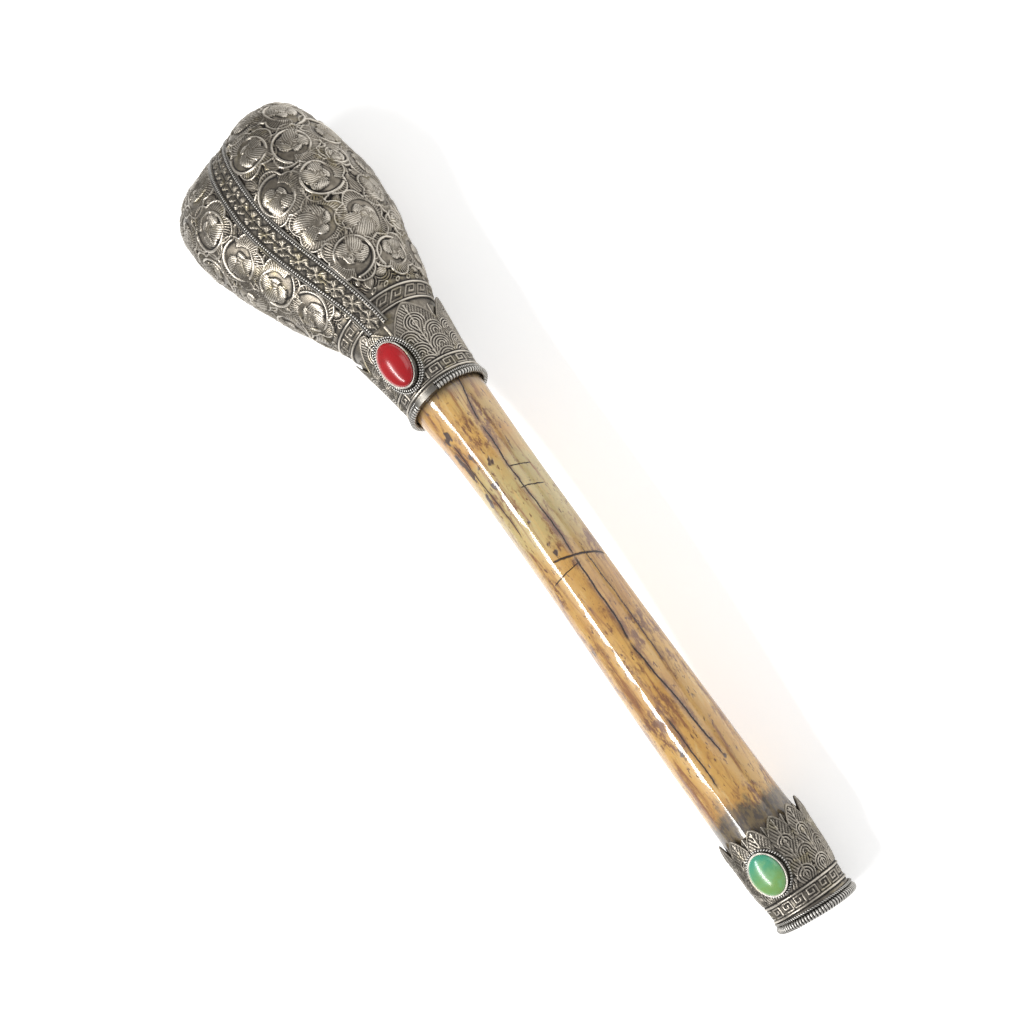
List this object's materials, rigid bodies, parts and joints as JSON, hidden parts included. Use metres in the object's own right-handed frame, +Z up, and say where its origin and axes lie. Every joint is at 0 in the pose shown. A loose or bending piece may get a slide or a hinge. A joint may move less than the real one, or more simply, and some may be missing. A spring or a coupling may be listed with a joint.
{
  "type": "bone trumpet",
  "caption": "Ritual bone trumpet (kangling): a slender bowed bone tube with a repousse silver bell, silver mouthpiece, and oval red and green stones in beaded bezels.",
  "frame": {"origin": "centre of the mouthpiece rim's front plane, on the blowing tube's axis", "axes": "+X from the mouthpiece towards the bell, +Z up as the trumpet lies on its back with the stones uppermost, +Y to the left seen from the mouthpiece"},
  "size_m": [0.3626, 0.0738, 0.0575],
  "materials": {
    "bone": "polished amber bone",
    "pitch": "dark hard pitch",
    "bell_silver": "repousse silver, tarnished",
    "strap_silver": "chased silver, tarnished",
    "wire_silver": "worn silver wire",
    "sleeve_silver": "chased silver, tarnished",
    "fitting_silver": "plain silver",
    "setting_bed": "resin bed under a stone",
    "coral": "polished red coral",
    "turquoise": "polished green turquoise"
  },
  "bodies": {
    "root": {"bone_tube": "bone", "bell_pitch": "pitch", "neck_pitch": "pitch", "mouth_pitch": "pitch", "bell_casing_left": "bell_silver", "bell_casing_right": "bell_silver", "front_strap": "strap_silver", "rear_strap": "strap_silver", "front_strap_bead_wire_left": "wire_silver", "front_strap_bead_wire_right": "wire_silver", "front_strap_edge_wire_left": "wire_silver", "front_strap_edge_wire_right": "wire_silver", "rear_strap_edge_wire_left": "wire_silver", "rear_strap_edge_wire_right": "wire_silver", "neck_coil_wire": "wire_silver", "neck_bead_wire": "wire_silver", "mouth_coil_wire": "wire_silver", "mouth_rope_wire": "wire_silver", "coral_bead_wire_inner": "wire_silver", "coral_bead_wire_outer": "wire_silver", "turquoise_bead_wire_round": "wire_silver", "neck_sleeve": "sleeve_silver", "mouth_sleeve": "sleeve_silver", "neck_joint_plate": "fitting_silver", "mouth_end_plate": "fitting_silver", "mouth_tube": "fitting_silver", "coral_plate": "fitting_silver", "coral_bezel": "fitting_silver", "turquoise_plate": "fitting_silver", "turquoise_bezel": "fitting_silver", "sound_hole_ring_left": "fitting_silver", "sound_hole_ring_right": "fitting_silver", "coral_bed": "setting_bed", "turquoise_bed": "setting_bed", "coral_stone": "coral", "turquoise_stone": "turquoise"}
  },
  "joints": []
}
